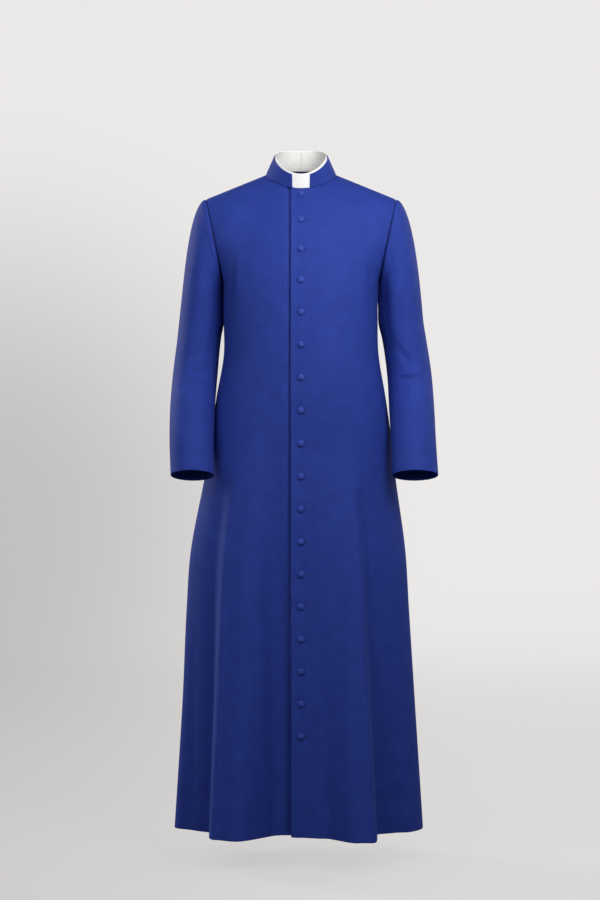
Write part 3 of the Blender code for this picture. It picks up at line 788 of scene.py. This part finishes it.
def addPanels(kind, makePoints, inner):
    # the left and the right panel, from the centre round to the side seam
    edges = {"first": inner, "low": "turned", "last": "seam", "high": "seam"}
    pieces = {}
    for word, side in sides:
        points, relief = makePoints(side)
        piece = clothShell(f"{kind}_{word}_cloth", points, levelled(points), edges, [wool, lining],
                           lining=panel["hemTurning"], relief=relief)
        addPiece(piece, "worsted", f"{kind}_{word}")
        pieces[word] = piece
    return pieces


fronts = addPanels("front", frontPoints, "turned")
print("fronts made")
addPanels("back", backPoints, "seam")
print("backs made")

sleeve = {
    "armholeFront": 0.066,
    "armholeBack": 0.070,
    "armholeStep": 0.0004,
    "forearmSeam": 136.0,
    "hindarmSeam": 238.0,
    "headRows": 48,
    "armRows": 100,
    "topColumns": 70,
    "underColumns": 28,
    "headEnds": (0.0, 0.008, 0.018, 0.03),      # shares of the head near the armhole
    "armEnds": (0.0, 0.0016, 0.0035, 0.008),    # shares of the arm near the cuff
    "seamEnds": (0.0, 0.008, 0.02),             # of the under sleeve's width near a seam
    "radius": 0.058,                            # turns an angle into a distance round the arm
    "cuffTurning": 0.040,
    "capRoll": 0.0020,                          # its fullness stands proud past the armhole
    "capShares": (0.2, 0.9),                    # of it above and below, and more in front
    "capRollPlace": 0.010,
    "capRollWidth": 0.012,
    "rings": {
        1: (
            # name, z, x, y, half, deep, tilt
            ("bicep", -0.287, 0.2232, 0.015, 0.049, 0.072, 0.0),
            ("low bicep", -0.335, 0.226, 0.018, 0.051, 0.07, 0.0),
            ("above elbow", -0.368, 0.2326, 0.018, 0.0498, 0.069, 0.0),
            ("elbow", -0.45, 0.244, 0.008, 0.05, 0.065, 0.1),
            ("forearm", -0.532, 0.2475, -0.03, 0.0505, 0.059, 0.24),
            ("wrist", -0.599, 0.2495, -0.06, 0.05, 0.052, 0.29),
            ("cuff", -0.677, 0.252, -0.087, 0.051, 0.045, 0.28),
        ),
        -1: (
            ("bicep", -0.287, 0.2222, 0.015, 0.048, 0.072, 0.0),
            ("low bicep", -0.335, 0.225, 0.018, 0.0506, 0.07, 0.0),
            ("above elbow", -0.368, 0.2297, 0.018, 0.0493, 0.069, 0.0),
            ("elbow", -0.45, 0.2382, 0.008, 0.0503, 0.065, 0.1),
            ("forearm", -0.532, 0.2425, -0.032, 0.05, 0.058, 0.24),
            ("wrist", -0.599, 0.2425, -0.066, 0.049, 0.051, 0.29),
            ("cuff", -0.677, 0.2395, -0.093, 0.048, 0.045, 0.28),
        ),
    },
    # how the sleeve leaves the armhole and arrives at the bicep, by the angle round the arm from
    # its outer side towards the front
    "head": (
        # name, angle, out, forward, down, arrive
        ("crown", 0.0, 0.11, 0.0, 0.02, 0.21),
        ("front", 90.0, 0.06, 0.005, 0.04, 0.16),
        ("underarm", 180.0, 0.006, 0.0, 0.045, 0.05),
        ("back", 270.0, 0.06, -0.005, 0.04, 0.16),
        ("crown again", 360.0, 0.11, 0.0, 0.02, 0.21),
    ),
    # creases in millimetres, by the distance round the arm from its outer line, + towards the
    # front, and up
    "creases": {
        "both": inMetres((
            # name, around0, z0, around1, z1, width, height, bow
            ("hind underarm hang", -150, -165, -150, -325, 30, 4.2, 0),
            ("inner arm hollow", 146, -190, 146, -430, 32, -6.6, 0),
        )),
        1: inMetres((
            ("elbow ridge", 50, -444, 136, -457, 9, 4.4, 0),
            ("above elbow trough", 126, -380, 80, -448, 16, -3.4, 0),
            ("under elbow trough", 136, -459, 66, -469, 7, -3, 0),
            ("upper elbow ridge", 90, -406, 10, -444, 13, 1.5, -2),
            ("slanting ridge", 82, -462, 104, -505, 7, 2.6, 1),
            ("forearm break", 60, -500, 100, -560, 12, -1.8, 2),
            ("hind arm hang", -150, -250, -146, -400, 26, 3.8, 0),
            ("hind elbow", -120, -440, -70, -470, 12, -3, 4),
            ("hind elbow ridge", -130, -465, -75, -495, 12, 2.6, 4),
            ("head front drag", 90, -180, 60, -280, 14, -1.6, 3),
        )),
        -1: inMetres((
            ("elbow ridge", 70, -458, 124, -470, 9, 2.6, 0),
            ("elbow trough", 70, -442, 126, -452, 9, -2.6, 2),
            ("small dent", 52, -476, 78, -484, 7, -1.8, 0),
            ("hind arm hang", -150, -250, -146, -390, 26, 3.4, 0),
            ("upper elbow trough", 60, -415, 115, -402, 10, -1.6, 2),
            ("slanting ridge", 75, -485, 105, -545, 10, 1.6, 2),
            ("hind elbow", -125, -435, -70, -462, 12, -3, 4),
            ("hind elbow ridge", -130, -460, -80, -490, 12, 2.4, 4),
            ("head front drag", 85, -185, 60, -285, 14, -1.4, 3),
        )),
    },
}


def armhole(angle):
    # degrees from the shoulder tip towards the front, on the wearer's left
    turn = angle % 360.0
    reach = sleeve["armholeFront"] if turn <= 180.0 else -sleeve["armholeBack"]
    t = turn / 180.0 if turn <= 180.0 else (360.0 - turn) / 180.0
    ahead = Vector((0.0, -reach * 4.0 / 3.0, 0.0))
    return cubic(yoke["tip"], yoke["tip"] + ahead, yoke["underarm"] + ahead, yoke["underarm"], t)


def sleeveRing(angle, z, side):
    x, y, half, deep, tilt = smoothRow(sleeve["rings"][side], 1, z)
    turn = math.radians(angle)
    ahead = deep * math.sin(turn)
    return Vector((x + half * math.cos(turn), y - ahead, z + tilt * ahead))


def sleevePoint(angle, row, side):
    # row: 0 armhole, 1 bicep, 2 cuff
    rings = sleeve["rings"][side]
    bicepZ, cuffZ = rings[0][1], rings[-1][1]
    if row >= 1.0:
        point = sleeveRing(angle, bicepZ + (cuffZ - bicepZ) * (row - 1.0), side)
    else:
        out, forward, down, arrive = smoothRow(sleeve["head"], 1, angle % 360.0)
        seam = yoke["tip"] - yoke["underarm"]
        away = Vector((seam.z, 0.0, -seam.x)).normalized()
        start = armhole(angle) + away * sleeve["armholeStep"]
        end = sleeveRing(angle, bicepZ, side)
        slope = sleeveRing(angle, bicepZ - smallTurn, side) - end
        leave = Vector((out, -forward, -down))
        point = cubic(start, start + leave / 3, end - slope.normalized() * arrive / 3, end, row)
    return Vector((point.x * side, point.y, point.z))


def sleeveRows():
    # fine at the armhole and at the cuff, and even where the head runs into the arm
    head = [place for place in evenPlaces(sleeve["headRows"], sleeve["headEnds"])
            if place < 1.0 - sleeve["headEnds"][-1]]
    arm = [1.0 + place for place in evenPlaces(sleeve["armRows"], sleeve["armEnds"])
           if place not in sleeve["armEnds"][1:3]]
    return head + arm


def addSleevePiece(name, word, side, start, end, columns):
    rows, rings = sleeveRows(), sleeve["rings"][side]
    creases = sleeve["creases"]["both"] + sleeve["creases"][side]
    fine = sleeve["underColumns"] / columns
    points, relief, outward = [], [], []
    for place in evenPlaces(columns, [fine * share for share in sleeve["seamEnds"]]):
        angle = start + (end - start) * place
        line = [sleevePoint(angle, row, side) for row in rows]
        across = math.radians((angle + 180.0) % 360.0 - 180.0) * sleeve["radius"]
        low, more = sleeve["capShares"]
        fullness = sleeve["capRoll"] * eased(low + more * abs(math.sin(math.radians(angle))))
        ridges, run = [], 0.0
        for p, before in zip(line, line[:1] + line):
            run += (p - before).length
            cap = bell((run - sleeve["capRollPlace"]) / sleeve["capRollWidth"]) * fullness
            ridges.append(creaseOut(creases, across, p.z) + cap)
        centres = [smoothRow(rings, 1, min(p.z, rings[0][1])) for p in line]
        points.append(line)
        relief.append(ridges)
        outward.append([(p.x - c[0] * side, p.y - c[1], 0.0) for p, c in zip(line, centres)])
    # the lining is measured from the low edge, so the grid is turned to start at the cuff
    points, relief, outward = [np.array(grid)[:, ::-1] for grid in (points, relief, outward)]
    edges = {"first": "pressed", "last": "pressed", "high": "armhole", "low": "turned"}
    piece = clothShell(f"{name}_{word}_cloth", points, outward, edges, [wool, lining],
                       lining=sleeve["cuffTurning"], relief=relief)
    addPiece(piece, "worsted", f"{name}_{word}")


for word, side in sides:
    forearm, hindarm = sleeve["forearmSeam"], sleeve["hindarmSeam"]
    addSleevePiece("top_sleeve", word, side, hindarm - 360.0, forearm, sleeve["topColumns"])
    addSleevePiece("under_sleeve", word, side, forearm, hindarm, sleeve["underColumns"])
print("sleeves made")

collar = {
    "wall": 0.0022,
    "notch": 0.020,
    "columns": 150,
    "rows": 16,
    "cornerRadius": 0.0025,
    "insertWall": 0.0012,
    "insertGap": 0.0003,
    "insertLow": -0.04,
    "insertHigh": 1.13,
    "insertMeet": 0.003,      # radians from the centre back, where its two ends meet
    "rise": 0.031,            # the band's height at the front
    "seamAllowance": 0.0008,  # how far the band's low edge goes under the neck seam
    "endPlaces": (0.0, 0.0012, 0.003, 0.006),
    "bandPlaces": (0.0, 0.02, 0.045, 0.08),
    "insertPlaces": (0.0, 0.012, 0.03, 0.06),
}


def collarPoint(turn, height):
    return neckLoop(neckline, turn).lerp(neckLoop(collarTop, turn), height)


def collarNormal(turn):
    run = collarPoint(turn + smallTurn, 0.5) - collarPoint(turn - smallTurn, 0.5)
    rise = collarPoint(turn, 1.0) - collarPoint(turn, 0.0)
    normal = run.cross(rise).normalized()
    if normal.dot(Vector((math.sin(turn), -math.cos(turn), 0.0))) < 0:
        normal = -normal
    return normal


def addBand(name, node, slot, material, ends, span, places, sunk, wall, low):
    # ends gives the first and last turn at a height, in radians from the centre front, and span
    # the lowest and highest height, as shares of the collar's own
    heights = [span[0] + (span[1] - span[0]) * place
               for place in evenPlaces(collar["rows"], places)]
    points, outward = [], []
    radius = collar["cornerRadius"] if node == "collar" else 0.0
    for place in evenPlaces(collar["columns"], collar["endPlaces"]):
        line, normals = [], []
        for height in heights:
            first, last = ends(height)
            turn = first + (last - first) * place
            normal = collarNormal(turn)
            fromEnd = min(place, 1.0 - place) * abs(last - first) * neckline["half"]
            if fromEnd < radius:
                cut = radius - math.sqrt(radius ** 2 - (radius - fromEnd) ** 2)
                height *= 1.0 - cut / collar["rise"]
            line.append(collarPoint(turn, height) - normal * sunk)
            normals.append(tuple(normal))
        points.append(line)
        outward.append(normals)
    edges = {"first": "turned", "last": "turned", "high": "turned", "low": low}
    piece = clothShell(name, np.array(points), np.array(outward), edges, [material], wall=wall)
    addPiece(piece, slot, node)


def notchEnds(height):
    # the collar's two ends stand upright, the same distance apart all the way up
    half = neckline["half"] + (collarTop["half"] - neckline["half"]) * height
    turn = math.asin(collar["notch"] / half)
    return turn, 2.0 * math.pi - turn


def insertEnds(height):
    return -(math.pi - collar["insertMeet"]), math.pi - collar["insertMeet"]


addBand("collar_cloth", "collar", "worsted", wool, notchEnds,
        (-collar["seamAllowance"] / collar["rise"], 1.0), collar["bandPlaces"], 0.0,
        collar["wall"], "seam")
addBand("collar_insert_cotton", "collar_insert", "insert", cotton, insertEnds,
        (collar["insertLow"], collar["insertHigh"]), collar["insertPlaces"],
        collar["wall"] + collar["insertGap"], collar["insertWall"], "turned")
print("collar made")


def onLap(tree, x, z):
    # the outside of the top front there, looking back from in front of it
    point, normal, _, _ = tree.ray_cast(Vector((x, -1.0, z)), Vector((0.0, 1.0, 0.0)))
    return point, normal


def buttonProfile():
    # half the outline of a covered button, from the top of the dome to its flat back
    rim, radius, height = buttons["rim"], buttons["radius"], buttons["height"]
    points = []
    for k in range(buttons["domeSteps"] + 1):
        turn = math.pi / 2 * k / buttons["domeSteps"]
        up = (height - rim) * math.cos(turn) ** buttons["domeFullness"]
        points.append(((radius - rim * buttons["domeInset"]) * math.sin(turn), rim + up))
    # the cloth rolls round the rim and is gathered flat behind it
    points += [(radius - rim * inset, rim * up) for inset, up in buttons["rimRoll"]]
    return points + [(radius * buttons["gather"], 0.0), (0.0, 0.0)]


def addButton(number, seat, axis):
    bm = spunMesh(buttonProfile(), buttons["steps"], 1e-5)
    turn = Vector((0.0, 0.0, 1.0)).rotation_difference(axis).to_matrix().to_4x4()
    bmesh.ops.transform(bm, matrix=turn, verts=bm.verts[:])
    bmesh.ops.translate(bm, vec=seat, verts=bm.verts[:])
    name = f"button_{number:02d}"
    # the covering's lighter wool is a painted highlight
    addPiece(meshObject(f"{name}_covered", bm, [buttonWoolPaintedHighlight], sharp=70.0), "button_cloth", name)


def stadium(length, halfWidth, steps):
    # points of a long loop with round ends, from its start along +X
    points = []
    for k in range(steps):
        turn = math.tau * k / steps
        reach = length / 2 - halfWidth
        x = length / 2 + math.copysign(reach, math.cos(turn)) + halfWidth * math.cos(turn)
        points.append((x, halfWidth * math.sin(turn)))
    return points


def tubeMesh(bm, points, radius, cyclic):
    # a thread along the points, as a curve turned into mesh and added to the bmesh
    curve = bpy.data.curves.new("thread", "CURVE")
    curve.dimensions = "3D"
    curve.bevel_depth = radius
    curve.bevel_resolution = 1
    spline = curve.splines.new("POLY")
    spline.points.add(len(points) - 1)
    for point, place in zip(spline.points, points):
        point.co = (*place, 1.0)
    spline.use_cyclic_u = cyclic
    holder = bpy.data.objects.new("thread", curve)
    bpy.context.scene.collection.objects.link(holder)
    depsgraph = bpy.context.evaluated_depsgraph_get()
    mesh = bpy.data.meshes.new_from_object(holder.evaluated_get(depsgraph))
    bm.from_mesh(mesh)
    bpy.data.objects.remove(holder)
    bpy.data.meshes.remove(mesh)
    bpy.data.curves.remove(curve)


def addButtonholes(tree, places):
    edges, slitShadeLines = bmesh.new(), bmesh.new()
    start, length, twist = buttons["holeStart"], buttons["holeLength"], buttons["twist"]
    inset = buttons["slitInset"]

    def raised(x, z, height):
        point, normal = onLap(tree, x, z)
        return point + normal * height

    for z in places:
        loop = [raised(start + x, z + up, twist * 0.45)
                for x, up in stadium(length, buttons["holeHalfWidth"], buttons["holeSteps"])]
        tubeMesh(edges, loop, twist, True)
        # a near-black line along the slit, painted shade for the narrow cut
        line = [raised(start + length * place, z, twist * 0.1)
                for place in np.linspace(inset, 1.0 - inset, buttons["slitSteps"] + 1)]
        tubeMesh(slitShadeLines, line, twist * 0.75, False)
    addPiece(meshObject("buttonhole_twist", edges, [thread], sharp=0), "worsted")
    addPiece(meshObject("buttonhole_slit_painted_shade", slitShadeLines, [slitPaintedShade], sharp=0), "worsted")


def addButtons():
    tree = BVHTree.FromObject(fronts["left"], bpy.context.evaluated_depsgraph_get())
    places, reach = buttonHeights(), buttons["radius"]
    for number, z in enumerate(places, start=1):
        seat, left, right, below, above = [
            onLap(tree, x, z + up)[0]
            for x, up in ((0.0, 0.0), (-reach, 0.0), (reach, 0.0), (0.0, -reach), (0.0, reach))]
        axis = (right - left).cross(above - below).normalized()
        lift = max(0.0, max((point - seat).dot(axis) for point in (left, right, below, above)))
        addButton(number, seat + axis * (lift + shell["seamGap"]), axis)
    addButtonholes(tree, places)


addButtons()
print("buttons made")

studio = {
    "floorZ": -1.545,
    "camera": Vector((-0.00225, -4.5, -0.621)),
    "lens": 80.0,
    "paper": "#E6E4E3",
    "dim": (
        # painted shade: place of a dimmer patch, fade along Y against across, from, to, glow
        # there, past it
        ((-2.0, 7.0, -1.2), 0.12, 0.4, 2.8, 0.66, 1.03),  # low behind the wearer's right
        ((0.0, 0.0, 0.0), 1.0, 1.5, 6.5, 0.76, 1.0),      # the floor's middle, far from the walls
    ),
    "flat": 4.6,
    "sweep": 3.4,
    "sweepSteps": 16,
    "wallTop": 7.0,
    "turns": 96,
    "room": ("#F2F4F8", 0.130),
    "lamps": (
        # name, place, aim, size, watts
        ("key", (0.6, -0.9, 0.1), (0.05, 0.0, -0.4), 0.5, 5.5),
        ("upper key", (0.3, -0.9, 0.3), (0.05, 0.0, -0.4), 0.5, 3.1),
        ("right fill", (-1.2, -2.6, 0.2), (0.0, 0.0, -0.35), 0.9, 14.5),
        ("left fill", (1.2, -2.6, 0.2), (0.0, 0.0, -0.35), 0.9, 10.5),
        ("right side", (-1.6, -1.4, 0.6), (0.0, 0.0, -0.35), 0.9, 9.0),
        ("left side", (2.4, -0.4, 0.8), (0.0, 0.0, -0.35), 0.9, 7.0),
        ("top", (0.0, -0.3, 2.0), (0.0, 0.0, -0.35), 0.9, 6.0),
        ("right rim", (-2.7, 1.7, 0.5), (0.0, 0.0, -0.5), 0.9, 60.0),
        ("left rim", (2.2, 1.4, 0.3), (0.0, 0.0, -0.35), 0.9, 10.0),
        ("back fill", (1.9, 3.0, 0.8), (0.0, 0.0, -0.6), 0.9, 12.0),
    ),
}


def studioPaper():
    # A seamless sweep of background paper, matte and pale. A soft glow of its own is painted
    # light that stands for the lamps that light a studio's walls: it is even all round but for
    # painted shade at one dimmer place and at the middle of the floor, and the cloth's own lamps
    # add little more than a faint shadow there.
    material, tree, shader, place = newMaterial("background paper", "Object", 0.9)
    shader.inputs["Emission Color"].default_value = hexLinear(studio["paper"])
    glows = []
    for (x, y, z), depth, near, far, there, past in studio["dim"]:
        away = addNode(tree, "Mapping", {"Location": (-x, -y * depth, -z),
                       "Scale": (1.0, depth, 1.0)}, Vector=place)
        distance = addNode(tree, "VectorMath", {"operation": "LENGTH"},
                           (away.outputs["Vector"],))
        glows.append(addNode(tree, "MapRange", {"interpolation_type": "SMOOTHSTEP",
                             "From Min": near, "From Max": far, "To Min": there, "To Max": past},
                             Value=distance.outputs["Value"]).outputs["Result"])
    both = addNode(tree, "Math", {"operation": "MULTIPLY"}, glows)
    tree.links.new(both.outputs["Value"], shader.inputs["Emission Strength"])
    cloudy = addNode(tree, "TexNoise", {"Scale": 1.2, "Detail": 2.0}, Vector=place)
    dressShader(tree, shader, cloudy.outputs["Fac"], "#565554", "#5A5958")
    return material


def addBackdrop():
    # the floor sweeps up into a round wall, so no view meets a corner or an edge
    floor, flat, radius, top = studio["floorZ"], studio["flat"], studio["sweep"], studio["wallTop"]
    line = [(0.0, floor), (flat * 0.5, floor), (flat, floor)]
    for k in range(1, studio["sweepSteps"] + 1):
        turn = math.pi / 2 * k / studio["sweepSteps"]
        line.append((flat + radius * math.sin(turn), floor + radius * (1.0 - math.cos(turn))))
    bm = spunMesh(line + [(flat + radius, top)], studio["turns"], 1e-4)
    if bm.faces[0].normal.z < 0:
        bmesh.ops.reverse_faces(bm, faces=bm.faces[:])
    backdrop = meshObject("backdrop", bm, [studioPaper()], sharp=0)
    # the paper shows to the camera, and the cloth is lit by the lamps and the room alone
    backdrop.visible_diffuse = False
    backdrop.visible_glossy = False
    backdrop.visible_shadow = False


def addHolder(name, data, place):
    holder = bpy.data.objects.new(name, data)
    holder.location = place
    bpy.context.scene.collection.objects.link(holder)
    return holder


def addLight(name, place, target, size, watts):
    lamp = bpy.data.lights.new(name, "AREA")
    lamp.size = size
    lamp.energy = watts
    holder = addHolder(name, lamp, place)
    aim = Vector(target) - Vector(place)
    holder.rotation_euler = aim.to_track_quat("-Z", "Y").to_euler()
    holder.visible_camera = False


def addCamera():
    data = bpy.data.cameras.new("camera")
    data.lens = studio["lens"]
    holder = addHolder("camera", data, studio["camera"])
    holder.rotation_euler = (math.radians(90.0), 0.0, 0.0)
    bpy.context.scene.camera = holder


def setWorld(colour, strength):
    world = bpy.data.worlds.new("studio")
    world.use_nodes = True
    background = world.node_tree.nodes["Background"]
    background.inputs["Color"].default_value = hexLinear(colour)
    background.inputs["Strength"].default_value = strength
    bpy.context.scene.world = world


addBackdrop()
for row in studio["lamps"]:
    addLight(*row)
setWorld(*studio["room"])
addCamera()
bpy.context.scene.view_settings.view_transform = "Standard"
print("studio made")
